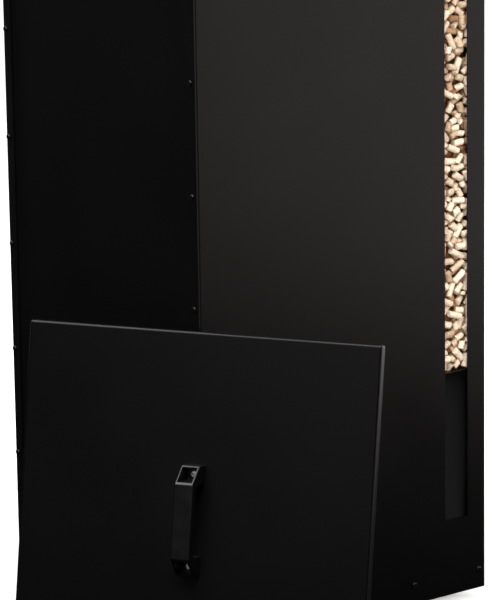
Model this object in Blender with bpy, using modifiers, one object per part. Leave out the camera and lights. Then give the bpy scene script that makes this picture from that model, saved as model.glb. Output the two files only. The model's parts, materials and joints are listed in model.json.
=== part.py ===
"""Pellet storage bin: a tall box of folded steel sheet with a sight window, and its slip-over lid lifted off.

The origin is the middle of the base, on the floor. The window is in the front, towards -Y. The lid stands on
the floor and leans against the front left corner, with its handle facing out.
"""
import math

import bmesh
import bpy
from mathutils import Matrix, Vector

# Body: outside sizes in metres, and the sheet it is folded from
WIDTH = 0.378
DEPTH = 0.364
HEIGHT = 1.000
SHEET = 0.0012
BEND_INSIDE = 0.0012
FRONT_FLANGE = 0.020
REAR_FLANGE = 0.015
LIP = 0.012
LIP_DROP = 0.0004
GAP = 0.0003

# Sight window at the right end of the front
SLOT_WIDTH = 0.031
SLOT_EDGE = 0.0247
SLOT_BOTTOM = 0.0856
SLOT_TOP_MARGIN = 0.0856
PANE_THICKNESS = 0.003
PANE_LAP = 0.009
BAR_WIDTH = 0.009
BAR_LIP = 0.006
BAR_THICKNESS = 0.0015

# Base pan and the raised floor that carries the pellets
BASE_FLANGE = 0.040
FLOOR_LEVEL = 0.252
FLOOR_CLEARANCE = 0.0005
LEDGE = 0.020
FILL_LEVEL = 0.820
FILL_CLEARANCE = 0.003
HEAP_RISE = 0.016
HEAP_CELLS = 7

# Panel screws: columns up both edges of each side, and a row along the bottom of the front
SCREW_PITCH = 0.120
SCREW_FIRST = 0.020
FRONT_SCREW_INSET = 0.009
REAR_SCREW_INSET = 0.006
BASE_SCREWS = 5
BASE_SCREW_INSET = 0.0094
BASE_SCREW_LEVEL = 0.0215
SCREW_HEAD_DIAMETER = 0.0064
SCREW_HEAD_HEIGHT = 0.0018
SCREW_HEAD_FLAT = 0.0038
SCREW_HEAD_RIM = 0.0007
SCREW_DIAMETER = 0.0035
SCREW_REACH = 0.006

# Lid: a pan that slips over the body
LID_PLAY = 0.001
LID_FLANGE = 0.012
LID_BEND_INSIDE = 0.0018
LID_TURN = math.radians(-53.3)
LID_LEAN = math.radians(13.4)
LID_SHIFT = 0.0086

# Bridge handle on the lid, with an open screw pocket in each slanted end
HANDLE_LENGTH = 0.115
HANDLE_WIDTH = 0.020
HANDLE_HEIGHT = 0.040
HANDLE_END_HEIGHT = 0.019
HANDLE_WALL = 0.002
HANDLE_EDGE = 0.0012
HANDLE_DROP = 0.010
HANDLE_END_LENGTH = 0.0185
GRIP_THICKNESS = 0.011
FINGER_CORNER = 0.008
POCKET_FLOOR = 0.005
BOLT_INSET = 0.0095
BOLT_DIAMETER = 0.005
BOLT_HEAD_DIAMETER = 0.0085
BOLT_HEAD_HEIGHT = 0.003
BOLT_HEAD_FLAT = 0.006
BOLT_HEAD_RIM = 0.0015
BOLT_END = 0.001
NUT_FLATS = 0.008
NUT_HEIGHT = 0.004

# Facets and profile of what is round, the angle of a sharp edge, and the distance that welds a seam
BEND_STEPS = 3
EDGE_STEPS = 2
ROUND_PROFILE = 0.5
SCREW_SIDES = 10
BOLT_SIDES = 16
NUT_SIDES = 6
SHARP_ANGLE = math.radians(35)
WELD = 1e-6

# Sizes that follow from those above
BEND_OUTSIDE = BEND_INSIDE + SHEET
SIDE_OUTSIDE = WIDTH / 2 - SHEET - GAP
SIDE_INSIDE = SIDE_OUTSIDE - SHEET
INSIDE_REACH = SIDE_INSIDE - GAP
FRONT = -DEPTH / 2
FRONT_INSIDE = FRONT + SHEET + GAP
SLOT_RIGHT = WIDTH / 2 - SLOT_EDGE
SLOT_LEFT = SLOT_RIGHT - SLOT_WIDTH
SLOT_TOP = HEIGHT - SLOT_TOP_MARGIN
PANE_BACK = FRONT_INSIDE + PANE_THICKNESS
BAR_BACK = PANE_BACK + GAP + BAR_THICKNESS
LID_WIDTH = WIDTH + 2 * (SHEET + LID_PLAY)
LID_LENGTH = DEPTH + 2 * (SHEET + LID_PLAY)
GRIP_LENGTH = HANDLE_LENGTH - 2 * HANDLE_END_LENGTH
FINGER_LENGTH = GRIP_LENGTH - 2 * HANDLE_WALL
HOLE_PITCH = HANDLE_LENGTH - 2 * BOLT_INSET

UP = Vector((0.0, 0.0, 1.0))
ALONG_X = Matrix(((0, 0, 1, 0), (1, 0, 0, 0), (0, 1, 0, 0), (0, 0, 0, 1)))
ALONG_Y = Matrix(((1, 0, 0, 0), (0, 0, -1, 0), (0, 1, 0, 0), (0, 0, 0, 1)))
HALF_TURN = Matrix.Rotation(math.pi, 4, "Z")


# Scene, collections and materials
def clear_scene():
    for old in list(bpy.data.objects):
        bpy.data.objects.remove(old, do_unlink=True)


def new_collection(name):
    collection = bpy.data.collections.new(name)
    bpy.context.scene.collection.children.link(collection)
    return collection


def new_material(name, colour, roughness, metallic=0.0, transmission=0.0):
    material = bpy.data.materials.new(name)
    material.use_nodes = True
    shader = material.node_tree.nodes["Principled BSDF"]
    shader.inputs["Base Color"].default_value = (*colour, 1.0)
    shader.inputs["Roughness"].default_value = roughness
    shader.inputs["Metallic"].default_value = metallic
    shader.inputs["Transmission Weight"].default_value = transmission
    return material


clear_scene()
PARTS = new_collection("pellet_storage_bin")
CUTTERS = new_collection("cutters")
BLACK_PAINT = new_material("black_powder_coat", (0.012, 0.012, 0.012), 0.5)
BLACK_PLASTIC = new_material("black_moulded_plastic", (0.010, 0.010, 0.011), 0.45)
BLACK_SCREW = new_material("blackened_steel", (0.020, 0.020, 0.021), 0.4, metallic=0.8)
BRIGHT_STEEL = new_material("bright_steel", (0.55, 0.55, 0.55), 0.3, metallic=1.0)
CLEAR_PANE = new_material("clear_pane", (0.90, 0.92, 0.92), 0.05, transmission=1.0)
PELLETS = new_material("wood_pellets", (0.62, 0.45, 0.28), 0.8)


# Meshes of the basic shapes
def to_mesh(bm, name):
    mesh = bpy.data.meshes.new(name)
    bm.to_mesh(mesh)
    bm.free()
    return mesh


def box_mesh(corner, opposite):
    """Box between two opposite corners."""
    corner, opposite = Vector(corner), Vector(opposite)
    size = [abs(length) for length in opposite - corner]
    bm = bmesh.new()
    bmesh.ops.create_cube(bm, size=1.0)
    place = Matrix.Translation((corner + opposite) / 2) @ Matrix.Diagonal((*size, 1.0))
    bmesh.ops.transform(bm, matrix=place, verts=bm.verts)
    return to_mesh(bm, "box")


def cylinder_mesh(radius, low, high, sides):
    """Upright cylinder on the Z axis, from one level to another."""
    bm = bmesh.new()
    bmesh.ops.create_cone(bm, cap_ends=True, segments=sides, radius1=radius, radius2=radius, depth=high - low)
    bmesh.ops.translate(bm, vec=UP * (low + high) / 2, verts=bm.verts)
    return to_mesh(bm, "cylinder")


def evaluated_mesh(holder):
    """Mesh of an object with its modifiers applied and its seams welded; the object is removed."""
    CUTTERS.objects.link(holder)
    bpy.context.view_layer.update()
    mesh = bpy.data.meshes.new_from_object(holder.evaluated_get(bpy.context.evaluated_depsgraph_get()))
    bpy.data.objects.remove(holder)
    bm = bmesh.new()
    bm.from_mesh(mesh)
    bmesh.ops.remove_doubles(bm, verts=bm.verts, dist=WELD)
    bm.to_mesh(mesh)
    bm.free()
    return mesh


def prism_mesh(outline, length):
    """Flat outline in X and Y, thickened to the given length along Z and centred on it."""
    curve = bpy.data.curves.new("outline", "CURVE")
    curve.dimensions = "2D"
    curve.fill_mode = "BOTH"
    curve.extrude = length / 2
    spline = curve.splines.new("POLY")
    spline.points.add(len(outline) - 1)
    for point, place in zip(spline.points, outline):
        point.co = (place[0], place[1], 0.0, 1.0)
    spline.use_cyclic_u = True
    return evaluated_mesh(bpy.data.objects.new("outline", curve))


def turned_mesh(profile, sides):
    """Profile of (radius, level) points, from the top down its outer side, turned about the Z axis."""
    bm = bmesh.new()
    points = [bm.verts.new((radius, 0.0, level)) for radius, level in profile]
    for start, end in zip(points, points[1:]):
        bm.edges.new((start, end))
    holder = bpy.data.objects.new("profile", to_mesh(bm, "profile"))
    turn = holder.modifiers.new("turn", "SCREW")
    turn.steps = turn.render_steps = sides
    turn.use_merge_vertices = True
    turn.merge_threshold = WELD
    mesh = evaluated_mesh(holder)
    smooth(mesh)
    return mesh


def copies_mesh(mesh, places):
    """One mesh that holds a copy of another at each of several placement matrices."""
    bm = bmesh.new()
    for place in places:
        copy = mesh.copy()
        copy.transform(place)
        bm.from_mesh(copy)
        bpy.data.meshes.remove(copy)
    return to_mesh(bm, "copies")


def smooth(mesh):
    mesh.shade_smooth()
    mesh.set_sharp_from_angle(angle=SHARP_ANGLE)


# Outlines of folded sheet
def offset_path(path, distance):
    """Open path moved to its left by a distance, with mitred corners."""
    moved = []
    for i, point in enumerate(path):
        steps = [path[k + 1] - path[k] for k in (i - 1, i) if 0 <= k < len(path) - 1]
        normals = [Vector((-step.y, step.x)).normalized() for step in steps]
        mean = sum(normals, Vector((0.0, 0.0))).normalized()
        moved.append(point + mean * (distance / mean.dot(normals[0])))
    return moved


def round_corners(path, radius):
    """Open path with an arc of the given radius at each of its inner corners."""
    rounded = [path[0]]
    for before, corner, after in zip(path, path[1:], path[2:]):
        back = (before - corner).normalized()
        ahead = (after - corner).normalized()
        half = back.angle(ahead) / 2
        centre = corner + (back + ahead).normalized() * (radius / math.sin(half))
        start = corner + back * (radius / math.tan(half)) - centre
        end = corner + ahead * (radius / math.tan(half)) - centre
        turn = math.atan2(start.cross(end), start.dot(end))
        for k in range(BEND_STEPS + 1):
            rounded.append(centre + Matrix.Rotation(turn * k / BEND_STEPS, 2) @ start)
    rounded.append(path[-1])
    return rounded


def folded_outline(points):
    """Cross-section of folded sheet whose outside runs through the points, with its inside on their left."""
    path = [Vector(point) for point in points]
    outside = round_corners(path, BEND_OUTSIDE)
    inside = round_corners(offset_path(path, SHEET), BEND_INSIDE)
    return outside + inside[::-1]


# Objects, and what cuts or joins them
def add_part(name, mesh, material, parent=None):
    mesh.name = name
    mesh.materials.append(material)
    part = bpy.data.objects.new(name, mesh)
    part.parent = parent
    PARTS.objects.link(part)
    return part


def apply_tool(part, mesh, operation, label):
    """Cuts a mesh out of a part, or joins it on, by a Boolean modifier in the part's own frame."""
    tool = bpy.data.objects.new(part.name + "_" + label, mesh)
    tool.parent = part.parent
    tool.hide_render = True
    tool.display_type = "WIRE"
    CUTTERS.objects.link(tool)
    modifier = part.modifiers.new(label, "BOOLEAN")
    modifier.operation = operation
    modifier.solver = "EXACT"
    modifier.object = tool


def cut(part, mesh, label):
    apply_tool(part, mesh, "DIFFERENCE", label)


def join(part, mesh, label):
    apply_tool(part, mesh, "UNION", label)


# Screws: each place is a matrix that puts the screw's own Z axis along its outward direction
def facing(position, outward):
    return Matrix.Translation(position) @ Vector(outward).to_track_quat("Z", "Y").to_matrix().to_4x4()


def screw_levels():
    count = 1 + math.floor((HEIGHT - 2 * SCREW_FIRST + WELD) / SCREW_PITCH)
    return [SCREW_FIRST + SCREW_PITCH * k for k in range(count)]


def side_screw_places(side, y):
    return [facing((side * WIDTH / 2, y, level), (side, 0, 0)) for level in screw_levels()]


def base_screw_places():
    reach = WIDTH / 2 - BASE_SCREW_INSET
    step = 2 * reach / (BASE_SCREWS - 1)
    return [facing((-reach + step * k, FRONT, BASE_SCREW_LEVEL), (0, -1, 0)) for k in range(BASE_SCREWS)]


def screw_mesh():
    head = SCREW_HEAD_DIAMETER / 2
    shank = SCREW_DIAMETER / 2
    top = GAP + SCREW_HEAD_HEIGHT
    return turned_mesh([(0, top), (SCREW_HEAD_FLAT / 2, top), (head, GAP + SCREW_HEAD_RIM), (head, GAP),
                        (shank, GAP), (shank, -SCREW_REACH), (0, -SCREW_REACH)], SCREW_SIDES)


def screw_holes(places):
    hole = cylinder_mesh(SCREW_DIAMETER / 2 + GAP, -2 * SCREW_REACH, SCREW_HEAD_HEIGHT, SCREW_SIDES)
    return copies_mesh(hole, places)


LEFT_FRONT = side_screw_places(-1, FRONT + FRONT_SCREW_INSET)
LEFT_REAR = side_screw_places(-1, -FRONT - REAR_SCREW_INSET)
RIGHT_FRONT = side_screw_places(1, FRONT + FRONT_SCREW_INSET)
RIGHT_REAR = side_screw_places(1, -FRONT - REAR_SCREW_INSET)
BASE_ROW = base_screw_places()


def add_screws():
    rows = {"left_front_screw": LEFT_FRONT, "left_rear_screw": LEFT_REAR, "right_front_screw": RIGHT_FRONT,
            "right_rear_screw": RIGHT_REAR, "base_screw": BASE_ROW}
    for name, places in rows.items():
        for number, place in enumerate(places, 1):
            screw = add_part("%s_%d" % (name, number), screw_mesh(), BLACK_SCREW)
            screw.matrix_world = place


# Body panels: channels with an inward lip in front and behind, whose flanges cover the side sheets' edges
def channel_mesh(flange):
    half = WIDTH / 2
    outline = folded_outline([(-half, FRONT + flange), (-half, FRONT), (half, FRONT), (half, FRONT + flange)])
    mesh = prism_mesh(outline, HEIGHT)
    mesh.transform(Matrix.Translation(UP * HEIGHT / 2))
    return mesh


def channel_lip_mesh():
    top = HEIGHT - LIP_DROP
    return box_mesh((-INSIDE_REACH, FRONT + SHEET / 2, top - SHEET), (INSIDE_REACH, FRONT + LIP, top))


def add_channel(name, turn, flange, hole_places):
    mesh, lip = channel_mesh(flange), channel_lip_mesh()
    mesh.transform(turn)
    lip.transform(turn)
    panel = add_part(name, mesh, BLACK_PAINT)
    join(panel, lip, "lip")
    cut(panel, screw_holes(hole_places), "holes")
    return panel


def add_front_and_back():
    front = add_channel("front_panel", Matrix.Identity(4), FRONT_FLANGE, LEFT_FRONT + RIGHT_FRONT + BASE_ROW)
    slot = box_mesh((SLOT_LEFT, FRONT - SHEET, SLOT_BOTTOM), (SLOT_RIGHT, FRONT + 2 * SHEET, SLOT_TOP))
    cut(front, slot, "slot")
    add_channel("back_panel", HALF_TURN, REAR_FLANGE, LEFT_REAR + RIGHT_REAR)


def add_side(name, turn, hole_places):
    end = DEPTH / 2 - BEND_OUTSIDE - GAP
    top = HEIGHT - LIP_DROP
    lip_end = DEPTH / 2 - LIP - GAP
    sheet = box_mesh((-SIDE_OUTSIDE, -end, 0), (-SIDE_INSIDE, end, HEIGHT))
    lip = box_mesh((SHEET / 2 - SIDE_OUTSIDE, -lip_end, top - SHEET), (LIP - SIDE_OUTSIDE, lip_end, top))
    sheet.transform(turn)
    lip.transform(turn)
    panel = add_part(name, sheet, BLACK_PAINT)
    join(panel, lip, "lip")
    cut(panel, screw_holes(hole_places), "holes")


def add_sides():
    add_side("left_side_panel", Matrix.Identity(4), LEFT_FRONT + LEFT_REAR)
    add_side("right_side_panel", HALF_TURN, RIGHT_FRONT + RIGHT_REAR)


# Base pan, raised floor on its two ledges, and the pellets on it
def add_base():
    half = DEPTH / 2 - SHEET - GAP
    outline = folded_outline([(-half, BASE_FLANGE), (-half, 0), (half, 0), (half, BASE_FLANGE)])
    mesh = prism_mesh(outline, 2 * INSIDE_REACH)
    mesh.transform(ALONG_X)
    base = add_part("base_plate", mesh, BLACK_PAINT)
    cut(base, screw_holes(BASE_ROW), "holes")


def add_floor():
    half_width = SIDE_INSIDE - FLOOR_CLEARANCE
    half_depth = DEPTH / 2 - SHEET - FLOOR_CLEARANCE
    underside = FLOOR_LEVEL - SHEET
    floor = add_part("inner_floor", box_mesh((-half_width, -half_depth, underside),
                                             (half_width, half_depth, FLOOR_LEVEL)), BLACK_PAINT)
    above, below = FLOOR_LEVEL + SHEET, underside - SHEET
    notch_x = WIDTH / 2 - SCREW_REACH - FLOOR_CLEARANCE
    notch_y = DEPTH / 2 - FRONT_FLANGE - FLOOR_CLEARANCE
    for side in (-1, 1):
        for end in (-1, 1):
            corner = box_mesh((side * notch_x, end * notch_y, below), (side * WIDTH, end * DEPTH, above))
            cut(floor, corner, "corner")
    beside = PANE_LAP + GAP + BAR_WIDTH + FLOOR_CLEARANCE
    window = box_mesh((SLOT_LEFT - beside, FRONT, below),
                      (SLOT_RIGHT + beside, BAR_BACK + FLOOR_CLEARANCE, above))
    cut(floor, window, "window")


def add_ledges():
    wall = INSIDE_REACH
    top = FLOOR_LEVEL - SHEET - GAP
    length = DEPTH - 2 * (FRONT_FLANGE + FLOOR_CLEARANCE)
    outline = folded_outline([(LEDGE - wall, top), (-wall, top), (-wall, top - LEDGE)])
    for name, turn in (("floor_ledge_left", Matrix.Identity(4)), ("floor_ledge_right", HALF_TURN)):
        mesh = prism_mesh(outline, length)
        mesh.transform(turn @ ALONG_Y)
        add_part(name, mesh, BLACK_PAINT)


def heap_mesh(corner, opposite):
    """Box whose top rises in a low heap from its edges to its middle."""
    low, high = Vector(corner), Vector(opposite)
    middle = (low + high) / 2
    bm = bmesh.new()
    bm.from_mesh(box_mesh(low, high))
    top = max(bm.faces, key=lambda face: face.calc_center_median().z)
    bottom = min(bm.faces, key=lambda face: face.calc_center_median().z)
    bmesh.ops.subdivide_edges(bm, edges=list(top.edges) + list(bottom.edges), cuts=HEAP_CELLS - 1,
                              use_grid_fill=True)
    for vert in bm.verts:
        if vert.co.z > middle.z:
            across = math.pi * (vert.co.x - low.x) / (high.x - low.x)
            along = math.pi * (vert.co.y - low.y) / (high.y - low.y)
            vert.co.z += HEAP_RISE * math.sin(across) * math.sin(along)
    return to_mesh(bm, "heap")


def add_pellets():
    half = WIDTH / 2 - SCREW_REACH - FILL_CLEARANCE
    near = BAR_BACK + FILL_CLEARANCE
    far = DEPTH / 2 - SHEET - FILL_CLEARANCE
    bottom = FLOOR_LEVEL + GAP
    fill = add_part("pellet_fill", heap_mesh((-half, near, bottom), (half, far, FILL_LEVEL)), PELLETS)
    sight = PANE_LAP - BAR_LIP - GAP
    join(fill, box_mesh((SLOT_LEFT - sight, PANE_BACK + GAP, bottom + GAP),
                        (SLOT_RIGHT + sight, near + FILL_CLEARANCE, FILL_LEVEL - GAP)), "behind_window")


# Window: a clear pane held by two rebated bars bonded to the inside of the front
def bar_outline(edge, side):
    """Cross-section of a bar beside the pane: its foot stands on the panel and its lip lies over the pane."""
    foot = edge + side * BAR_WIDTH
    tip = edge - side * BAR_LIP
    under = PANE_BACK + GAP
    return [(edge, FRONT_INSIDE), (foot, FRONT_INSIDE), (foot, BAR_BACK), (tip, BAR_BACK), (tip, under),
            (edge, under)]


def add_window():
    low = SLOT_BOTTOM - PANE_LAP
    high = SLOT_TOP + PANE_LAP
    add_part("window_pane", box_mesh((SLOT_LEFT - PANE_LAP, FRONT_INSIDE, low),
                                     (SLOT_RIGHT + PANE_LAP, PANE_BACK, high)), CLEAR_PANE)
    for name, edge, side in (("window_bar_left", SLOT_LEFT - PANE_LAP - GAP, -1),
                             ("window_bar_right", SLOT_RIGHT + PANE_LAP + GAP, 1)):
        mesh = prism_mesh(bar_outline(edge, side), high - low)
        mesh.transform(Matrix.Translation(UP * (low + high) / 2))
        add_part(name, mesh, BLACK_PAINT)


# Lid: built flat in its own frame, with X across, Y up the lid and Z out of its face
def lid_frame():
    """Frame at the middle of the lid's face, for a lid that leans on the front left corner of the body."""
    across = Vector((math.cos(LID_TURN), math.sin(LID_TURN), 0.0))
    out = Vector((math.sin(LID_TURN), -math.cos(LID_TURN), 0.0))
    slope = UP * math.cos(LID_LEAN) - out * math.sin(LID_LEAN)
    normal = across.cross(slope)
    corner = Vector((BEND_OUTSIDE - WIDTH / 2, FRONT + BEND_OUTSIDE, GAP)) + out * BEND_OUTSIDE
    foot = corner + across * LID_SHIFT + out * (LID_LENGTH * math.sin(LID_LEAN) + GAP)
    middle = foot + slope * LID_LENGTH / 2 + normal * LID_FLANGE
    axes = Matrix((across, slope, normal)).transposed()
    return Matrix.Translation(middle) @ axes.to_4x4()


def pan_mesh():
    """Open pan of one sheet surface: the face and four turned-down sides, with rounded bends."""
    bm = bmesh.new()
    bmesh.ops.create_cube(bm, size=1.0)
    stretch = Matrix.Diagonal((LID_WIDTH, LID_LENGTH, LID_FLANGE, 1.0))
    bmesh.ops.transform(bm, matrix=Matrix.Translation(-UP * LID_FLANGE / 2) @ stretch, verts=bm.verts)
    back = min(bm.faces, key=lambda face: face.calc_center_median().z)
    bmesh.ops.delete(bm, geom=[back], context="FACES_ONLY")
    bends = [edge for edge in bm.edges if not edge.is_boundary]
    bmesh.ops.bevel(bm, geom=bends, offset=SHEET + LID_BEND_INSIDE, segments=BEND_STEPS,
                    affect="EDGES", profile=ROUND_PROFILE)
    mesh = to_mesh(bm, "pan")
    smooth(mesh)
    return mesh


def bolt_places():
    return {end: Matrix.Translation((0, side * HOLE_PITCH / 2 - HANDLE_DROP, 0))
            for end, side in (("upper", 1), ("lower", -1))}


def add_lid_panel(frame):
    lid = add_part("lid_panel", pan_mesh(), BLACK_PAINT, frame)
    wall = lid.modifiers.new("sheet", "SOLIDIFY")
    wall.thickness = SHEET
    wall.offset = -1.0
    wall.use_even_offset = True
    hole = cylinder_mesh(BOLT_DIAMETER / 2 + GAP, -LID_FLANGE, LID_FLANGE, BOLT_SIDES)
    cut(lid, copies_mesh(hole, bolt_places().values()), "holes")


def handle_outline():
    """Side view of the handle: along it in X, height off the lid in Y, counter-clockwise."""
    end, grip, finger = HANDLE_LENGTH / 2, GRIP_LENGTH / 2, FINGER_LENGTH / 2
    under = HANDLE_HEIGHT - GRIP_THICKNESS
    gap_path = [Vector(p) for p in ((-finger, GAP), (-finger, under), (finger, under), (finger, GAP))]
    outer = [(end, GAP), (end, HANDLE_END_HEIGHT), (grip, HANDLE_HEIGHT), (-grip, HANDLE_HEIGHT),
             (-end, HANDLE_END_HEIGHT), (-end, GAP)]
    return outer + round_corners(gap_path, FINGER_CORNER)


def add_handle(frame):
    mesh = prism_mesh(handle_outline(), HANDLE_WIDTH)
    mesh.transform(Matrix.Translation((0, -HANDLE_DROP, 0)) @ ALONG_X)
    handle = add_part("lid_handle", mesh, BLACK_PLASTIC, frame)
    edge = handle.modifiers.new("edges", "BEVEL")
    edge.width = HANDLE_EDGE
    edge.segments = EDGE_STEPS
    edge.limit_method = "ANGLE"
    edge.angle_limit = SHARP_ANGLE
    inside = HANDLE_WIDTH / 2 - HANDLE_WALL
    pocket = box_mesh((-inside, GRIP_LENGTH / 2 + HANDLE_WALL, POCKET_FLOOR),
                      (inside, HANDLE_LENGTH / 2 - HANDLE_WALL, HANDLE_HEIGHT + HANDLE_WALL))
    ends = [Matrix.Translation((0, -HANDLE_DROP, 0)) @ turn for turn in (Matrix.Identity(4), HALF_TURN)]
    cut(handle, copies_mesh(pocket, ends), "pockets")
    hole = cylinder_mesh(BOLT_DIAMETER / 2 + GAP, -LID_FLANGE, POCKET_FLOOR + BOLT_HEAD_HEIGHT, BOLT_SIDES)
    cut(handle, copies_mesh(hole, bolt_places().values()), "holes")


def add_bolts(frame):
    under_head = POCKET_FLOOR + GAP
    top = under_head + BOLT_HEAD_HEIGHT
    nut_top = -SHEET - GAP
    nut_bottom = nut_top - NUT_HEIGHT
    tip = nut_bottom - BOLT_END
    head, shank = BOLT_HEAD_DIAMETER / 2, BOLT_DIAMETER / 2
    for end, place in bolt_places().items():
        bolt = turned_mesh([(0, top), (BOLT_HEAD_FLAT / 2, top), (head, under_head + BOLT_HEAD_RIM),
                            (head, under_head), (shank, under_head), (shank, tip), (0, tip)], BOLT_SIDES)
        bolt.transform(place)
        add_part("handle_bolt_" + end, bolt, BRIGHT_STEEL, frame)
        corner_radius = NUT_FLATS / 2 / math.cos(math.pi / NUT_SIDES)
        nut_mesh = cylinder_mesh(corner_radius, nut_bottom, nut_top, NUT_SIDES)
        nut_mesh.transform(place)
        nut = add_part("handle_nut_" + end, nut_mesh, BRIGHT_STEEL, frame)
        bore = cylinder_mesh(shank + GAP, nut_bottom - NUT_HEIGHT, nut_top + NUT_HEIGHT, BOLT_SIDES)
        bore.transform(place)
        cut(nut, bore, "bore")


def add_lid():
    frame = bpy.data.objects.new("lid_frame", None)
    frame.matrix_world = lid_frame()
    PARTS.objects.link(frame)
    add_lid_panel(frame)
    add_handle(frame)
    add_bolts(frame)


add_front_and_back()
add_sides()
add_base()
add_floor()
add_ledges()
add_window()
add_pellets()
add_screws()
add_lid()
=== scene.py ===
"""Pellet storage bin: finishes, single pellets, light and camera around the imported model."""
import json
import math
import random

import bmesh
import bpy
import numpy as np
from mathutils import Matrix, Vector, noise
from mathutils.bvhtree import BVHTree

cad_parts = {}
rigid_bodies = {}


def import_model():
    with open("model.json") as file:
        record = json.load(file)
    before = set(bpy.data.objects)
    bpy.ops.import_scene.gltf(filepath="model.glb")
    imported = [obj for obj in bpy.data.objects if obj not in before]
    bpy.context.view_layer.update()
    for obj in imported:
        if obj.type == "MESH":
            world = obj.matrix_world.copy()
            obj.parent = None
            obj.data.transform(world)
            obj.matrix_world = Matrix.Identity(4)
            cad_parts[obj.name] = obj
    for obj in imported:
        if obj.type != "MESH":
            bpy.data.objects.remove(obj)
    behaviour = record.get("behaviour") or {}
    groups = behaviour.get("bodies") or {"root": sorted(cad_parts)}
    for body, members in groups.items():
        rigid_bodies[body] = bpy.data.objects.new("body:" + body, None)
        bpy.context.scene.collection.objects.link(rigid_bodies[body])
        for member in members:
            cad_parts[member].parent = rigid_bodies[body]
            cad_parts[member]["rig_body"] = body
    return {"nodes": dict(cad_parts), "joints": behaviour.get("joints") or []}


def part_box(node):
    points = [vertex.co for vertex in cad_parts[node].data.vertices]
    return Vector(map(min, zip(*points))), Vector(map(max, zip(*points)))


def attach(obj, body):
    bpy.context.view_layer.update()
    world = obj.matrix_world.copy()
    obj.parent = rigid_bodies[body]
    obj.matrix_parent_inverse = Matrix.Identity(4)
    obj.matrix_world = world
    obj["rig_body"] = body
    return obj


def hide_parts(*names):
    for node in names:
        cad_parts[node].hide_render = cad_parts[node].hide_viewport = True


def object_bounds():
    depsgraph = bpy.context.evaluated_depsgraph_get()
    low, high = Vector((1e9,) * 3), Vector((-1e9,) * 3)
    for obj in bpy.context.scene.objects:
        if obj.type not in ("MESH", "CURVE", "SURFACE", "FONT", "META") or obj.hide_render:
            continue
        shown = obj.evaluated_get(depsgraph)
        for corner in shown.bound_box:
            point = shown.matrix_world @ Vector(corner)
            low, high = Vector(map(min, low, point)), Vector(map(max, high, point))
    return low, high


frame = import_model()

NODES = frame["nodes"]
CAD_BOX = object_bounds()
UP = Vector((0.0, 0.0, 1.0))
LID_NORMAL = Vector(frame["joints"][0]["axis"])

# Camera: place in metres, direction in degrees, and the lens for a 492 by 600 picture
CAMERA_PLACE = (-2.6475, -3.7201, 1.5796)
CAMERA_AZIMUTH = -35.435
CAMERA_ELEVATION = 15.415
CAMERA_ROLL = -0.849
CAMERA_LENS = 259.71

# Floor and surroundings: the floor glows more, the further it is from the bin, and its weaker glow
# next to the bin is a painted contact shadow
FLOOR_RADIUS = 6.0
FLOOR_SIDES = 96
FLOOR_DROP = 0.0004
FLOOR_COLOUR = (0.45, 0.45, 0.45)
FLOOR_GLOW_WITH_PAINTED_SHADOW = ((0.0, (0.0, 0.0, 0.0)), (0.06, (0.6, 0.6, 0.6)), (1.0, (1.0, 1.0, 1.0)))
GLOW_AND_SHADOW_REACH = 0.5
SHADOW_INSET = 0.05
WORLD_DIM = 0.02

# Lights: place, point aimed at, size in metres, power in watts and colour
WHITE = (1.0, 1.0, 1.0)
LIGHTS = {
    "key_light": ((-1.95, -2.5, 3.9), (0.0, -0.1, 0.45), (1.4, 1.4), 120.0, (1.0, 0.97, 0.93)),
    "top_light": ((-0.35, 0.15, 2.7), (-0.1, 0.0, 0.4), (2.8, 2.8), 145.0, WHITE),
    "lid_card": ((-1.83, -1.22, 1.08), (-0.23, -0.22, 0.18), (0.8, 0.8), 2.4, WHITE),
    "rear_card": ((0.65, 1.25, 0.6), (0.65, 0.0, 0.6), (1.9, 1.13), 9.0, WHITE),
    "right_card": ((0.95, 0.5, 0.6), (0.0, 0.5, 0.6), (1.4, 1.13), 6.0, WHITE),
    "left_card": ((-2.0, 2.6, 0.6), (0.0, 0.0, 0.5), (2.2, 1.8), 0.2, WHITE),
    "pellet_fill_light": ((-0.6, -3.5, 0.6), (0.15, 0.0, 0.4), (2.0, 2.0), 165.0, (1.0, 0.95, 0.88)),
    "front_card": ((0.75, -1.075, 0.595), (0.0, -1.075, 0.595), (1.75, 1.13), 8.6, (1.0, 0.93, 0.89)),
    "side_card": ((-1.12, -0.5, 0.62), (-0.19, 0.0, 0.62), (1.3, 1.13), 4.6, WHITE),
    "recess_card": ((0.3335, -0.5926, 0.004), (0.3397, -0.60045, 10.0), (0.2355, 0.75), 0.058, WHITE),
    "bolt_card": ((-1.62, -0.79, 0.39), (-0.25, -0.24, 0.15), (0.3, 0.3), 0.6, WHITE),
}

# Lights that only some pieces get (INCLUDE), or all but some (EXCLUDE)
LIGHT_LINKS = {
    "pellet_fill_light": ("INCLUDE", "pellet_bed", "window_pellets", "top_pellets"),
    "front_card": ("EXCLUDE", "window_pane_finish"),
    "side_card": ("INCLUDE", "left_side_panel_finish", "front_panel_finish", "back_panel_finish"),
    "recess_card": ("INCLUDE", "window_pane_finish"),
    "bolt_card": ("INCLUDE", "handle_bolt_upper_finish", "handle_bolt_lower_finish"),
}

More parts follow.
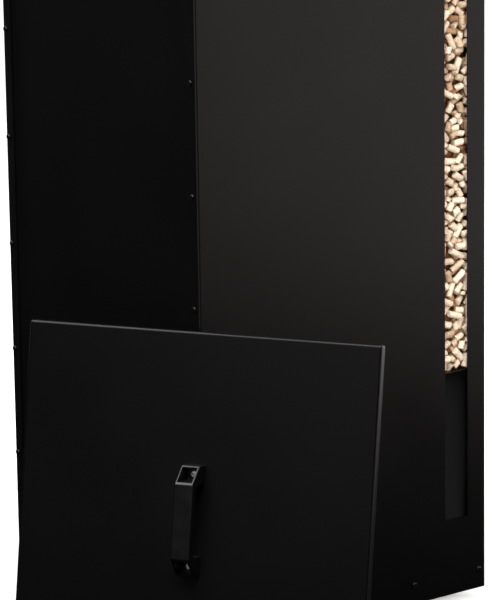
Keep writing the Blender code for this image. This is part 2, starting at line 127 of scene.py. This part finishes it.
# Materials: colours at places along a factor, and the lowest and highest roughness
NOISE_MIDDLE = (0.3, 0.7)
COAT_COLOURS = ((0.3, (0.0010, 0.0010, 0.0010)), (0.7, (0.0018, 0.0018, 0.0018)))
COAT_ROUGHNESS = (0.33, 0.39)
COAT_SPECULAR = 0.25
PLASTIC_COLOURS = ((0.3, (0.0018, 0.0018, 0.0019)), (0.7, (0.0030, 0.0030, 0.0031)))
PLASTIC_ROUGHNESS = (0.30, 0.38)
PLASTIC_SPECULAR = 0.4
BLACK_STEEL_COLOURS = ((0.35, (0.015, 0.015, 0.015)), (0.65, (0.05, 0.05, 0.05)))
BLACK_STEEL_ROUGHNESS = (0.32, 0.5)
BRIGHT_STEEL_COLOURS = ((0.35, (0.50, 0.50, 0.51)), (0.65, (0.70, 0.70, 0.70)))
BRIGHT_STEEL_ROUGHNESS = (0.36, 0.5)
PANE_ROUGHNESS = (0.055, 0.085)
PANE_IOR = 1.45
WOOD_TONES = ((0.0, (0.16, 0.070, 0.028)), (0.03, (0.34, 0.21, 0.12)), (0.10, (0.58, 0.46, 0.345)),
              (0.5, (0.75, 0.64, 0.52)), (1.0, (0.81, 0.70, 0.58)))
# Painted shade: from 0.45 of its reach under the heap's surface downward, pellets turn darker and
# warmer, standing in for shade and warm bounce light in the gaps
WOOD_PAINTED_SHADE = ((0.45, (1.0, 1.0, 1.0)), (1.0, (0.62, 0.42, 0.26)))
WOOD_PORES = ((0.36, (0.62, 0.55, 0.48)), (0.56, (1.0, 1.0, 1.0)))
WOOD_ROUGHNESS = (0.85, 0.65)
WOOD_SPECULAR = 0.15

# Finish of the sheets' edges
SHEETS = ("front_panel", "back_panel", "left_side_panel", "right_side_panel", "base_plate",
          "inner_floor", "floor_ledge_left", "floor_ledge_right", "window_bar_left",
          "window_bar_right", "lid_panel")
EDGE = 0.0003
SLOT_EDGE = 0.0005
EDGE_STEPS = 2
SHARP_ANGLE = math.radians(40)
FLAT_ANGLE = math.radians(0.4)
WELD = 1e-6

# Screws: outward direction of each row, and each head's height with its shank's radius
SCREW_ROWS = {"left_front": (-1, 0, 0), "left_rear": (-1, 0, 0), "right_front": (1, 0, 0),
              "right_rear": (1, 0, 0), "base": (0, -1, 0)}
SCREW_HEAD = (0.0018, 0.00175)
BOLT_HEAD = (0.0030, 0.0025)
SCREW_SIDES = 30

# Screw heads: the cross's reach and width are shares of the head's radius, and its depth of the height
HEAD_FLAT = 0.58
HEAD_RIM = 0.3
HEAD_STEPS = 5
CROSS_REACH = 0.42
CROSS_WIDTH = 0.12
CROSS_DEPTH = 0.55
CROSS_TAPER = 0.6

# Pellets: sizes in metres, and rings at places along a pellet with their shares of its radius
PELLET_DIAMETER = (0.0068, 0.0080)
PELLET_LENGTH = (0.008, 0.022)
BIT_LENGTH = (0.004, 0.008)
PELLET_PROFILE = ((-0.5, 0.90), (-0.475, 1.0), (0.0, 1.0), (0.475, 1.0), (0.5, 0.90))
PELLET_UNEVEN = (0.96, 1.0)
END_SLANT = 0.3
PELLET_SHARP_ANGLE = math.radians(35)
WINDOW_SIDES = 12
TOP_SIDES = 8

# Heaps of pellets: depths and clearances in metres, and counts of pellets dropped
TILTS = [math.radians(7.5 * step) for step in range(-8, 9)]
WINDOW_DEPTH = 0.018
TOP_DEPTH = 0.014
TOP_PROUD = 0.003
FILL_CLEARANCE = 0.003
HEAP_BESIDE = 0.012
HEAP_CLEARANCE = 0.0004
CELL = 0.001
CHOICES = 8
FLOOR_DROPS = 60
BAR_DROPS = 200
BAR_BITS = 150
WINDOW_DROPS = (700, 600, 700)
TOP_DROPS = (2000, 1200, 0)
SHORT_SHARE = 0.6
SEED = 7

# Tones of the pellets: reach of the painted shade into the heap, and pellets darker above some of its
# height
PAINTED_SHADE_REACH = 0.012
DARKER_ABOVE = 0.5
DARKER_BETWEEN = (0.44, 0.54)

# Bed behind the single pellets
BED_CUTS = 40
LUMP = 0.004
LUMP_SCALE = 110.0


# Node materials
def new_material(name):
    material = bpy.data.materials.new(name)
    material.use_nodes = True
    tree = material.node_tree
    return material, tree, tree.nodes["Principled BSDF"]


def add_node(tree, kind, **inputs):
    """A node with values on its inputs; an input's name has _ for each space."""
    node = tree.nodes.new(kind)
    for name, value in inputs.items():
        node.inputs[name.replace("_", " ")].default_value = value
    return node


def add_operation(tree, kind, operation):
    node = tree.nodes.new(kind)
    node.operation = operation
    return node


def noise_factor(tree, scale, detail, stretch=(1.0, 1.0, 1.0)):
    """Noise over the object's own coordinates, in metres."""
    place = add_node(tree, "ShaderNodeTexCoord")
    mapping = add_node(tree, "ShaderNodeMapping", Scale=stretch)
    texture = add_node(tree, "ShaderNodeTexNoise", Scale=scale, Detail=detail)
    tree.links.new(place.outputs["Object"], mapping.inputs["Vector"])
    tree.links.new(mapping.outputs["Vector"], texture.inputs["Vector"])
    return texture.outputs["Fac"]


def point_factor(tree, name):
    """A number that each of the mesh's points carries."""
    node = tree.nodes.new("ShaderNodeAttribute")
    node.attribute_name = name
    return node.outputs["Fac"]


def ramp(tree, factor, stops):
    """Colours at places from 0 to 1 along a factor."""
    node = tree.nodes.new("ShaderNodeValToRGB")
    elements = node.color_ramp.elements
    while len(elements) < len(stops):
        elements.new(0.5)
    for element, (place, colour) in zip(elements, stops):
        element.position = place
        element.color = (*colour, 1.0)
    tree.links.new(factor, node.inputs["Fac"])
    return node.outputs["Color"]


def spread(tree, factor, low, high):
    """A noise's middle range mapped to values from low to high."""
    start, end = NOISE_MIDDLE
    node = add_node(tree, "ShaderNodeMapRange", From_Min=start, From_Max=end, To_Min=low, To_Max=high)
    tree.links.new(factor, node.inputs["Value"])
    return node.outputs["Result"]


def multiply(tree, first, second, share):
    """A colour multiplied by a share of another one."""
    node = tree.nodes.new("ShaderNodeMix")
    node.data_type = "RGBA"
    node.blend_type = "MULTIPLY"
    node.inputs["Factor"].default_value = share
    tree.links.new(first, node.inputs["A"])
    tree.links.new(second, node.inputs["B"])
    return node.outputs["Result"]


def bump(tree, shader, height, strength, distance):
    node = add_node(tree, "ShaderNodeBump", Strength=strength, Distance=distance)
    tree.links.new(height, node.inputs["Height"])
    tree.links.new(node.outputs["Normal"], shader.inputs["Normal"])


def coated_metal():
    """Fine-textured black powder coat: a dense grain, with slow changes of sheen."""
    material, tree, shader = new_material("black_powder_coat_fine")
    grain = noise_factor(tree, scale=900.0, detail=2.0)
    cloud = noise_factor(tree, scale=9.0, detail=4.0)
    tree.links.new(ramp(tree, grain, COAT_COLOURS), shader.inputs["Base Color"])
    tree.links.new(spread(tree, cloud, *COAT_ROUGHNESS), shader.inputs["Roughness"])
    shader.inputs["Specular IOR Level"].default_value = COAT_SPECULAR
    bump(tree, shader, grain, strength=0.15, distance=0.0002)
    return material


def moulded_plastic():
    """Black plastic with a fine moulded grain and cloudy sheen."""
    material, tree, shader = new_material("black_plastic_grained")
    grain = noise_factor(tree, scale=1800.0, detail=2.0)
    cloud = noise_factor(tree, scale=60.0, detail=3.0)
    tree.links.new(ramp(tree, cloud, PLASTIC_COLOURS), shader.inputs["Base Color"])
    tree.links.new(spread(tree, cloud, *PLASTIC_ROUGHNESS), shader.inputs["Roughness"])
    shader.inputs["Specular IOR Level"].default_value = PLASTIC_SPECULAR
    bump(tree, shader, grain, strength=0.12, distance=0.0002)
    return material


def steel(name, colours, roughness):
    """Steel with fine wear in its colour and roughness."""
    material, tree, shader = new_material(name)
    wear = noise_factor(tree, scale=700.0, detail=4.0)
    tree.links.new(ramp(tree, wear, colours), shader.inputs["Base Color"])
    tree.links.new(spread(tree, wear, *roughness), shader.inputs["Roughness"])
    shader.inputs["Metallic"].default_value = 1.0
    bump(tree, shader, wear, strength=0.1, distance=0.0001)
    return material


def clear_sheet():
    """Clear pane that lets light through to what is behind it, with a few faint smears."""
    material, tree, shader = new_material("clear_pane_sheet")
    smear = noise_factor(tree, scale=40.0, detail=4.0, stretch=(1.0, 1.0, 0.3))
    tree.links.new(spread(tree, smear, *PANE_ROUGHNESS), shader.inputs["Roughness"])
    shader.inputs["Base Color"].default_value = (*WHITE, 1.0)
    shader.inputs["Transmission Weight"].default_value = 1.0
    shader.inputs["IOR"].default_value = PANE_IOR
    through = tree.nodes.new("ShaderNodeBsdfTransparent")
    path = tree.nodes.new("ShaderNodeLightPath")
    mix = tree.nodes.new("ShaderNodeMixShader")
    tree.links.new(path.outputs["Is Shadow Ray"], mix.inputs["Fac"])
    tree.links.new(shader.outputs["BSDF"], mix.inputs[1])
    tree.links.new(through.outputs["BSDF"], mix.inputs[2])
    tree.links.new(mix.outputs["Shader"], tree.nodes["Material Output"].inputs["Surface"])
    return material


def pressed_wood():
    """Pressed sawdust: each pellet has a tone of its own, with fibres and darker pores, and painted
    shade that makes it darker and warmer deeper under the heap's surface.
    """
    material, tree, shader = new_material("pressed_wood")
    tone = ramp(tree, point_factor(tree, "tone"), WOOD_TONES)
    # Painted shade: darker and warmer, the deeper a point lies under the heap's surface
    painted_shade = ramp(tree, point_factor(tree, "depth"), WOOD_PAINTED_SHADE)
    fibre = noise_factor(tree, scale=900.0, detail=4.0)
    pores = ramp(tree, fibre, WOOD_PORES)
    grained = multiply(tree, tone, pores, share=0.8)
    tree.links.new(multiply(tree, grained, painted_shade, share=1.0), shader.inputs["Base Color"])
    tree.links.new(spread(tree, fibre, *WOOD_ROUGHNESS), shader.inputs["Roughness"])
    shader.inputs["Specular IOR Level"].default_value = WOOD_SPECULAR
    bump(tree, shader, fibre, strength=0.6, distance=0.0005)
    return material


COAT = coated_metal()
PLASTIC = moulded_plastic()
BLACK_STEEL = steel("blackened_steel_worn", BLACK_STEEL_COLOURS, BLACK_STEEL_ROUGHNESS)
BRIGHT_STEEL = steel("bright_steel_zinc", BRIGHT_STEEL_COLOURS, BRIGHT_STEEL_ROUGHNESS)
PANE = clear_sheet()
WOOD = pressed_wood()


# Pieces
def finished_mesh(bm, name):
    """Mesh of a bmesh, which is freed."""
    mesh = bpy.data.meshes.new(name)
    bm.to_mesh(mesh)
    bm.free()
    return mesh


def add_piece(name, mesh, material, body):
    mesh.name = name
    mesh.materials.clear()
    mesh.materials.append(material)
    piece = bpy.data.objects.new(name, mesh)
    bpy.context.scene.collection.objects.link(piece)
    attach(piece, body)
    return piece


def shade(piece):
    """Smooth shading that keeps flat faces flat."""
    piece.data.shade_smooth()
    piece.data.set_sharp_from_angle(angle=SHARP_ANGLE)
    normals = piece.modifiers.new("normals", "WEIGHTED_NORMAL")
    normals.keep_sharp = True


def plain_copy(node):
    """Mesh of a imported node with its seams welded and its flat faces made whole."""
    bm = bmesh.new()
    bm.from_mesh(NODES[node].data)
    bmesh.ops.remove_doubles(bm, verts=bm.verts, dist=WELD)
    bmesh.ops.dissolve_limit(bm, angle_limit=FLAT_ANGLE, verts=bm.verts, edges=bm.edges)
    mesh = finished_mesh(bm, node)
    if "custom_normal" in mesh.attributes:
        mesh.attributes.remove(mesh.attributes["custom_normal"])
    return mesh


def dress(node, material, edge=EDGE):
    """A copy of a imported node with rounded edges, which stands for it."""
    body = NODES[node]["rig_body"]
    piece = add_piece(node + "_finish", plain_copy(node), material, body)
    bevel = piece.modifiers.new("edges", "BEVEL")
    bevel.width = edge
    bevel.segments = EDGE_STEPS
    bevel.limit_method = "ANGLE"
    bevel.angle_limit = SHARP_ANGLE
    shade(piece)
    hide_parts(node)


def dress_sheets():
    """Finishes for the sheets, the pane, the handle and its nuts."""
    for node in SHEETS:
        dress(node, COAT, SLOT_EDGE if node == "front_panel" else EDGE)
    dress("window_pane", PANE)
    dress("lid_handle", PLASTIC)
    for end in ("upper", "lower"):
        dress("handle_nut_" + end, BRIGHT_STEEL)


# Screws
def turned_rings(bm, profile):
    """Rings of vertices for a profile of radius and level, joined by faces and closed at the last."""
    turns = [2 * math.pi * k / SCREW_SIDES for k in range(SCREW_SIDES)]
    rings = []
    for radius, level in profile:
        points = [(radius * math.cos(turn), radius * math.sin(turn), level) for turn in turns]
        rings.append([bm.verts.new(point) for point in points])
    for upper, lower in zip(rings, rings[1:]):
        for k in range(SCREW_SIDES):
            n = (k + 1) % SCREW_SIDES
            bm.faces.new((upper[k], lower[k], lower[n], upper[n]))
    bm.faces.new(rings[-1][::-1])
    return rings


def cross_points(bm, reach, width, level):
    """Corners of a cross, three for each arm, counter-clockwise."""
    corners = []
    for quarter in range(4):
        turn = Matrix.Rotation(quarter * math.pi / 2, 3, "Z")
        for x, y in ((reach, -width), (reach, width), (width, width)):
            corners.append(bm.verts.new(turn @ Vector((x, y, level))))
    return corners


def fill_between(bm, outer, inner):
    """Triangles between two loops that both go once round the axis."""
    def angle(vert):
        return math.atan2(vert.co.y, vert.co.x) % (2 * math.pi)
    outer, inner = sorted(outer, key=angle), sorted(inner, key=angle)
    turn = 2 * math.pi
    i, j = 0, 0
    while i < len(outer) or j < len(inner):
        a, b = outer[i % len(outer)], inner[j % len(inner)]
        next_a, next_b = outer[(i + 1) % len(outer)], inner[(j + 1) % len(inner)]
        angle_a = angle(next_a) + turn * (i + 1 == len(outer))
        angle_b = angle(next_b) + turn * (j + 1 == len(inner))
        if j == len(inner) or (i < len(outer) and angle_a <= angle_b):
            bm.faces.new((a, next_a, b))
            i += 1
        else:
            bm.faces.new((a, next_b, b))
            j += 1


def sink_cross(bm, ring, reach, width, depth):
    """A cross sunk from level 0 inside a ring, narrower at its foot."""
    mouth = cross_points(bm, reach, width, 0.0)
    foot = cross_points(bm, reach * CROSS_TAPER, width * CROSS_TAPER, -depth)
    fill_between(bm, ring, mouth)
    for k in range(len(mouth)):
        n = (k + 1) % len(mouth)
        bm.faces.new((mouth[k], mouth[n], foot[n], foot[k]))
    for arm in range(4):
        bm.faces.new((foot[3 * arm], foot[3 * arm + 1], foot[3 * arm + 2], foot[3 * arm - 1]))
    bm.faces.new((foot[2], foot[5], foot[8], foot[11]))


def screw_profile(radius, height, shank, bottom):
    """Radius and level of a screw's rings, from the head's flat top to the shank's end."""
    flat = HEAD_FLAT * radius
    rim = HEAD_RIM * height
    profile = []
    for step in range(HEAD_STEPS + 1):
        part = math.pi / 2 * step / HEAD_STEPS
        out = flat + (radius - flat) * math.sin(part)
        profile.append((out, (height - rim) * (math.cos(part) - 1)))
    return profile + [(radius, -height), (shank, -height), (shank, bottom)]


def add_screw(node, axis, head, material, turn):
    """A round-headed screw with a sunk cross, in the place of a packed one."""
    axis = Vector(axis).normalized()
    height, shank = head
    points = [vert.co for vert in NODES[node].data.vertices]
    middle = sum(points, Vector()) / len(points)
    levels = [(point - middle).dot(axis) for point in points]
    radius = max(((point - middle).cross(axis)).length for point in points)
    bm = bmesh.new()
    rings = turned_rings(bm, screw_profile(radius, height, shank, min(levels) - max(levels)))
    sink_cross(bm, rings[0], CROSS_REACH * radius, CROSS_WIDTH * radius, CROSS_DEPTH * height)
    place = axis.to_track_quat("Z", "Y").to_matrix().to_4x4() @ Matrix.Rotation(turn, 4, "Z")
    place.translation = middle + axis * max(levels)
    bmesh.ops.transform(bm, matrix=place, verts=bm.verts)
    bmesh.ops.recalc_face_normals(bm, faces=bm.faces)
    mesh = finished_mesh(bm, node)
    piece = add_piece(node + "_finish", mesh, material, NODES[node]["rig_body"])
    shade(piece)
    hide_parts(node)


def add_screws():
    """All screws, each turned by chance."""
    draw = random.Random(SEED)
    for row, axis in SCREW_ROWS.items():
        for node in sorted(name for name in NODES if name.startswith(row + "_screw_")):
            add_screw(node, axis, SCREW_HEAD, BLACK_STEEL, draw.uniform(0, math.pi))
    for end in ("upper", "lower"):
        turn = draw.uniform(0, math.pi)
        add_screw("handle_bolt_" + end, LID_NORMAL, BOLT_HEAD, BRIGHT_STEEL, turn)


# Pellets
class Heap:
    """Pellets dropped one by one on a height field, in a frame with its own axes."""

    def __init__(self, origin, axes, size, limits, sides, darker, seed):
        self.origin = Vector(origin)
        self.axes = [Vector(axis) for axis in axes]
        self.size = size
        self.counts = [round(side / CELL) + 1 for side in size]
        u, v = np.meshgrid(*(np.arange(count) * CELL for count in self.counts), indexing="ij")
        self.height, self.ceiling = limits(u, v)
        self.sides = sides
        self.darker = darker
        self.draw = random.Random(seed)
        self.pellets = []

    def draw_one(self, lengths, wall):
        """Length, radius, way it lies, reach to each side and middle of a pellet, by chance."""
        draw = self.draw
        length = draw.uniform(*lengths)
        radius = draw.uniform(*PELLET_DIAMETER) / 2
        turn = draw.uniform(0, math.pi)
        way = (math.cos(turn), math.sin(turn))
        reach = [abs(way[axis]) * length / 2 + abs(way[1 - axis]) * radius for axis in (0, 1)]
        middle = [draw.uniform(m, side - m) for m, side in zip(reach, self.size)]
        if wall:
            way_in, axis, at = wall
            middle[axis] = at + way_in * reach[axis]
        return length, radius, way, reach, middle

    def cells_under(self, reach, middle):
        """The part of the field that a pellet may cover, and its cells' places from the middle."""
        low = [max(0, math.floor((at - m) / CELL)) for at, m in zip(middle, reach)]
        high = [min(count, math.ceil((at + m) / CELL) + 1)
                for at, m, count in zip(middle, reach, self.counts)]
        window = (slice(low[0], high[0]), slice(low[1], high[1]))
        spots = [np.arange(start, stop) * CELL - at for start, stop, at in zip(low, high, middle)]
        return window, *np.meshgrid(*spots, indexing="ij")

    def lowest_tilt(self, window, along, aside, length, radius):
        """Level, tilt, covered cells and top of a pellet that is tilted to rest as low as it can."""
        inside = np.abs(aside) < radius
        half = np.sqrt(np.maximum(radius ** 2 - aside ** 2, 0))
        best = None
        for tilt in TILTS:
            end = length / 2 * math.cos(tilt) + radius * abs(math.sin(tilt))
            under = inside & (np.abs(along) <= end)
            rise = along * math.tan(tilt)
            level = (self.height[window] - rise + half / math.cos(tilt))[under].max()
            if best is None or level < best[0]:
                best = (level, tilt, under, rise)
        level, tilt, under, rise = best
        return level, tilt, under, level + rise + half / math.cos(tilt)

    def try_one(self, lengths, wall):
        """A pellet at rest in a random place; None where it would stand too high."""
        length, radius, way, reach, middle = self.draw_one(lengths, wall)
        window, u, v = self.cells_under(reach, middle)
        along = u * way[0] + v * way[1]
        aside = v * way[0] - u * way[1]
        level, tilt, under, top = self.lowest_tilt(window, along, aside, length, radius)
        if (top > self.ceiling[window])[under].any():
            return None
        direction = Vector((way[0] * math.cos(tilt), way[1] * math.cos(tilt), math.sin(tilt)))
        pellet = (Vector((*middle, level)), direction, length, radius, self.draw.random())
        return level, window, under, top, pellet

    def drop(self, lengths, wall=None):
        """Keeps the lowest of some tries, all of them against one wall if it is given."""
        tries = [found for found in (self.try_one(lengths, wall) for _ in range(CHOICES)) if found]
        if not tries:
            return
        _, window, under, top, pellet = min(tries, key=lambda found: found[0])
        patch = self.height[window]
        patch[under] = np.maximum(patch, top)[under]
        self.pellets.append(pellet)

    def line(self, count, lengths, wall):
        """Drops pellets against a wall: the way into the heap, the axis across it and its place."""
        for _ in range(count):
            self.drop(lengths, wall)

    def fill(self, long, short, bits):
        """Drops pellets of all lengths, and then short ones and broken bits into the last gaps."""
        shortest, longest = PELLET_LENGTH
        for _ in range(long):
            self.drop(PELLET_LENGTH)
        for number in range(short):
            share = SHORT_SHARE * (1.0 - number / short)
            self.drop((shortest, shortest + share * (longest - shortest)))
        for _ in range(bits):
            self.drop(BIT_LENGTH)

    def depth(self, point):
        """How far a point lies under the heap's surface, as a share of the painted shade's reach."""
        spots = [round(at / CELL) for at in point.xy]
        cell = tuple(min(max(spot, 0), count - 1) for spot, count in zip(spots, self.counts))
        return min(max((self.ceiling[cell] - point.z) / PAINTED_SHADE_REACH, 0.0), 1.0)

    def tone_share(self, place):
        """Share of its tone that a pellet keeps: less above some of the heap's height."""
        above = np.interp(place.y / self.size[1], DARKER_BETWEEN, (0.0, 1.0))
        return 1.0 - self.darker * float(above)

    def mesh(self, name):
        """All pellets in one mesh, whose points carry their tone and their depth for the painted
        shade.
        """
        bm = bmesh.new()
        tones, painted_shade_layer = [bm.verts.layers.float.new(layer) for layer in ("tone", "depth")]
        for place, direction, length, radius, tone in self.pellets:
            own_tone = tone * self.tone_share(place)
            for vert in add_pellet(bm, self.draw, self.sides, place, direction, length, radius):
                vert[tones] = own_tone
                # Painted shade: how deep the point lies sets how much darker and warmer it is painted
                vert[painted_shade_layer] = self.depth(vert.co)
        place = Matrix(self.axes).transposed().to_4x4()
        place.translation = self.origin
        bmesh.ops.transform(bm, matrix=place, verts=bm.verts)
        bmesh.ops.recalc_face_normals(bm, faces=bm.faces)
        mesh = finished_mesh(bm, name)
        mesh.shade_smooth()
        mesh.set_sharp_from_angle(angle=PELLET_SHARP_ANGLE)
        return mesh


def add_pellet(bm, draw, sides, place, direction, length, radius):
    """A short rod with uneven, broken ends; returns its vertices."""
    turn = direction.to_track_quat("Z", "Y").to_matrix()
    slants = [[draw.uniform(-END_SLANT, END_SLANT) for _ in range(2)] for _ in range(2)]
    rings = []
    for at, share in PELLET_PROFILE:
        slant = slants[at > 0] if at else (0.0, 0.0)
        ring = []
        for k in range(sides):
            angle = 2 * math.pi * k / sides
            out = radius * share * draw.uniform(*PELLET_UNEVEN)
            x, y = out * math.cos(angle), out * math.sin(angle)
            level = at * length + slant[0] * x + slant[1] * y
            ring.append(bm.verts.new(place + turn @ Vector((x, y, level))))
        rings.append(ring)
    for lower, upper in zip(rings, rings[1:]):
        for k in range(sides):
            n = (k + 1) % sides
            bm.faces.new((lower[k], lower[n], upper[n], upper[k]))
    bm.faces.new(rings[0][::-1])
    bm.faces.new(rings[-1])
    return [vert for ring in rings for vert in ring]


def window_heap(fill_low, top_level):
    """Pellets that press against the pane, between the bars and, further back, behind them."""
    pane_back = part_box("window_pane")[1].y + HEAP_CLEARANCE
    left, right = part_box("window_bar_left")[1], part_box("window_bar_right")[0]
    start = left.x - HEAP_BESIDE
    size = (right.x - left.x + 2 * HEAP_BESIDE, top_level - fill_low.z)
    behind_bars = WINDOW_DEPTH - (left.y + HEAP_CLEARANCE - pane_back)

    def limits(u, v):
        between = (u + start > left.x + HEAP_CLEARANCE) & (u + start < right.x - HEAP_CLEARANCE)
        return np.zeros(u.shape), np.where(between, WINDOW_DEPTH, behind_bars)
    origin = (start, pane_back + WINDOW_DEPTH, fill_low.z)
    axes = ((1, 0, 0), (0, 0, 1), (0, -1, 0))
    return Heap(origin, axes, size, limits, WINDOW_SIDES, DARKER_ABOVE, SEED)


def fill_level():
    """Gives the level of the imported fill's top above a point."""
    mesh = NODES["pellet_fill"].data
    points = [vert.co for vert in mesh.vertices]
    tree = BVHTree.FromPolygons(points, [face.vertices for face in mesh.polygons])

    def level(x, y):
        return tree.ray_cast(Vector((x, y, CAD_BOX[1].z)), -UP)[0].z
    return level


def top_heap(low, high, level):
    """The open surface of the pellets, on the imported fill's own heap."""
    size = (high.x - low.x, high.y - low.y)
    bottom = low.z - TOP_DEPTH

    def limits(u, v):
        x = np.clip(low.x + u, low.x + HEAP_CLEARANCE, high.x - HEAP_CLEARANCE)
        y = np.clip(low.y + v, low.y + HEAP_CLEARANCE, high.y - HEAP_CLEARANCE)
        top = np.vectorize(level)(x, y) - bottom
        return top - TOP_DEPTH, top + TOP_PROUD
    axes = ((1, 0, 0), (0, 1, 0), (0, 0, 1))
    return Heap((low.x, low.y, bottom), axes, size, limits, TOP_SIDES, 0.0, SEED + 1)


def fill_window(window):
    """Drops a row on the floor, pellets along both bars, the rest, and bits along the bars."""
    bar = HEAP_BESIDE + 2 * HEAP_CLEARANCE
    bars = ((1, 0, bar), (-1, 0, window.size[0] - bar))
    window.line(FLOOR_DROPS, PELLET_LENGTH, (1, 1, 0.0))
    for wall in bars:
        window.line(BAR_DROPS, PELLET_LENGTH, wall)
    window.fill(*WINDOW_DROPS)
    for wall in bars:
        window.line(BAR_BITS, BIT_LENGTH, wall)


def bed_mesh(low, high, rise):
    """Closed, lumpy body of the pellets behind and below the ones that show."""
    bm = bmesh.new()
    bmesh.ops.create_cube(bm, size=1.0)
    bmesh.ops.subdivide_edges(bm, edges=bm.edges, cuts=BED_CUTS, use_grid_fill=True)
    bmesh.ops.transform(bm, matrix=Matrix.Diagonal((*(high - low), 1.0)), verts=bm.verts)
    bm.normal_update()
    lumps = [LUMP * (noise.noise(vert.co * LUMP_SCALE) - 1) / 2 for vert in bm.verts]
    for vert, lump in zip(bm.verts, lumps):
        vert.co += vert.normal * lump + (low + high) / 2
        vert.co.z += rise(vert.co.x, vert.co.y) * (vert.co.z - low.z) / (high.z - low.z)
    mesh = finished_mesh(bm, "pellet_bed")
    mesh.shade_smooth()
    return mesh


def add_pellets():
    """Single pellets behind the pane and on top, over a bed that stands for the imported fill."""
    low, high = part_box("pellet_fill")
    level = fill_level()
    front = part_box("window_bar_left")[1].y + FILL_CLEARANCE
    edge_level = level(0.0, high.y - HEAP_CLEARANCE)
    window = window_heap(low, edge_level)
    top = top_heap(Vector((low.x, front, edge_level)), high, level)
    fill_window(window)
    top.fill(*TOP_DROPS)
    bed_low = Vector((low.x, window.origin.y, low.z))
    bed_high = Vector((high.x, high.y, top.origin.z))
    mesh = bed_mesh(bed_low, bed_high, lambda x, y: level(x, y) - edge_level)
    # The bed carries no tone, so it takes the darkest wood tone: painted shade for the depths of the
    # heap behind the single pellets
    bed = add_piece("pellet_bed", mesh, WOOD, "bin_body")
    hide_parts("pellet_fill")
    for name, heap in (("window_pellets", window), ("top_pellets", top)):
        add_piece(name, heap.mesh(name), WOOD, "bin_body")


# Stage, light and camera
def distance_from_bin(tree):
    """Distance of a floor point from a rectangle as deep as the bin, and narrower by an inset."""
    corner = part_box("front_panel")[0]
    place = tree.nodes.new("ShaderNodeTexCoord")
    size = add_operation(tree, "ShaderNodeVectorMath", "ABSOLUTE")
    beyond = add_operation(tree, "ShaderNodeVectorMath", "SUBTRACT")
    beyond.inputs[1].default_value = (-corner.x - SHADOW_INSET, -corner.y, 0.0)
    parts = tree.nodes.new("ShaderNodeSeparateXYZ")
    furthest = add_operation(tree, "ShaderNodeMath", "MAXIMUM")
    tree.links.new(place.outputs["Object"], size.inputs[0])
    tree.links.new(size.outputs["Vector"], beyond.inputs[0])
    tree.links.new(beyond.outputs["Vector"], parts.inputs["Vector"])
    tree.links.new(parts.outputs["X"], furthest.inputs[0])
    tree.links.new(parts.outputs["Y"], furthest.inputs[1])
    return furthest.outputs["Value"]


def add_floor():
    """Pale floor that the bin doesn't mirror, with a glow that is painted light and fades next to the
    bin into a painted contact shadow.
    """
    bpy.ops.mesh.primitive_circle_add(vertices=FLOOR_SIDES, radius=FLOOR_RADIUS, fill_type="NGON",
                                      location=(0, 0, -FLOOR_DROP))
    floor = bpy.context.object
    floor.name = "floor"
    material, tree, shader = new_material("pale_floor")
    shader.inputs["Base Color"].default_value = (*FLOOR_COLOUR, 1.0)
    shader.inputs["Roughness"].default_value = 1.0
    shader.inputs["Specular IOR Level"].default_value = 0.0
    shader.inputs["Emission Strength"].default_value = 1.0
    reach = add_node(tree, "ShaderNodeMapRange", From_Max=GLOW_AND_SHADOW_REACH)
    tree.links.new(distance_from_bin(tree), reach.inputs["Value"])
    # Painted contact shadow: the floor's glow fades out towards the bin
    tree.links.new(ramp(tree, reach.outputs["Result"], FLOOR_GLOW_WITH_PAINTED_SHADOW), shader.inputs["Emission Color"])
    floor.data.materials.append(material)
    floor.visible_glossy = False
    floor.visible_diffuse = False
    floor.visible_transmission = False


def add_world():
    """White to the eye, dim in reflections, so that black surfaces stay black."""
    world = bpy.data.worlds.new("studio")
    world.use_nodes = True
    tree = world.node_tree
    background = tree.nodes["Background"]
    background.inputs["Color"].default_value = (*WHITE, 1.0)
    path = tree.nodes.new("ShaderNodeLightPath")
    mix = add_node(tree, "ShaderNodeMapRange", To_Min=WORLD_DIM, To_Max=1.0)
    tree.links.new(path.outputs["Is Camera Ray"], mix.inputs["Value"])
    tree.links.new(mix.outputs["Result"], background.inputs["Strength"])
    bpy.context.scene.world = world


def add_light(name, place, aim, size, power, colour):
    data = bpy.data.lights.new(name, "AREA")
    data.shape = "RECTANGLE"
    data.size, data.size_y = size
    data.energy = power
    data.color = colour
    light = bpy.data.objects.new(name, data)
    light.location = place
    light.rotation_euler = (Vector(aim) - Vector(place)).to_track_quat("-Z", "Y").to_euler()
    light.visible_camera = False
    bpy.context.scene.collection.objects.link(light)
    return light


def link_light(light, state, *pieces):
    """Gives a light to some pieces alone (INCLUDE), or keeps it off them (EXCLUDE)."""
    group = bpy.data.collections.new(light.name + "_pieces")
    for piece in pieces:
        group.objects.link(bpy.data.objects[piece])
    for row in group.collection_objects:
        row.light_linking.link_state = state
    light.light_linking.receiver_collection = group


def add_lights():
    for name, values in LIGHTS.items():
        light = add_light(name, *values)
        if name in LIGHT_LINKS:
            link_light(light, *LIGHT_LINKS[name])


def add_camera():
    data = bpy.data.cameras.new("camera")
    data.lens = CAMERA_LENS
    camera = bpy.data.objects.new("camera", data)
    turn = (Matrix.Rotation(math.radians(CAMERA_AZIMUTH), 4, "Z")
            @ Matrix.Rotation(math.radians(90 - CAMERA_ELEVATION), 4, "X")
            @ Matrix.Rotation(math.radians(CAMERA_ROLL), 4, "Z"))
    camera.matrix_world = Matrix.Translation(CAMERA_PLACE) @ turn
    bpy.context.scene.collection.objects.link(camera)
    bpy.context.scene.camera = camera


dress_sheets()
add_screws()
add_pellets()
add_floor()
add_world()
add_lights()
add_camera()
bpy.context.scene.view_settings.view_transform = "Standard"
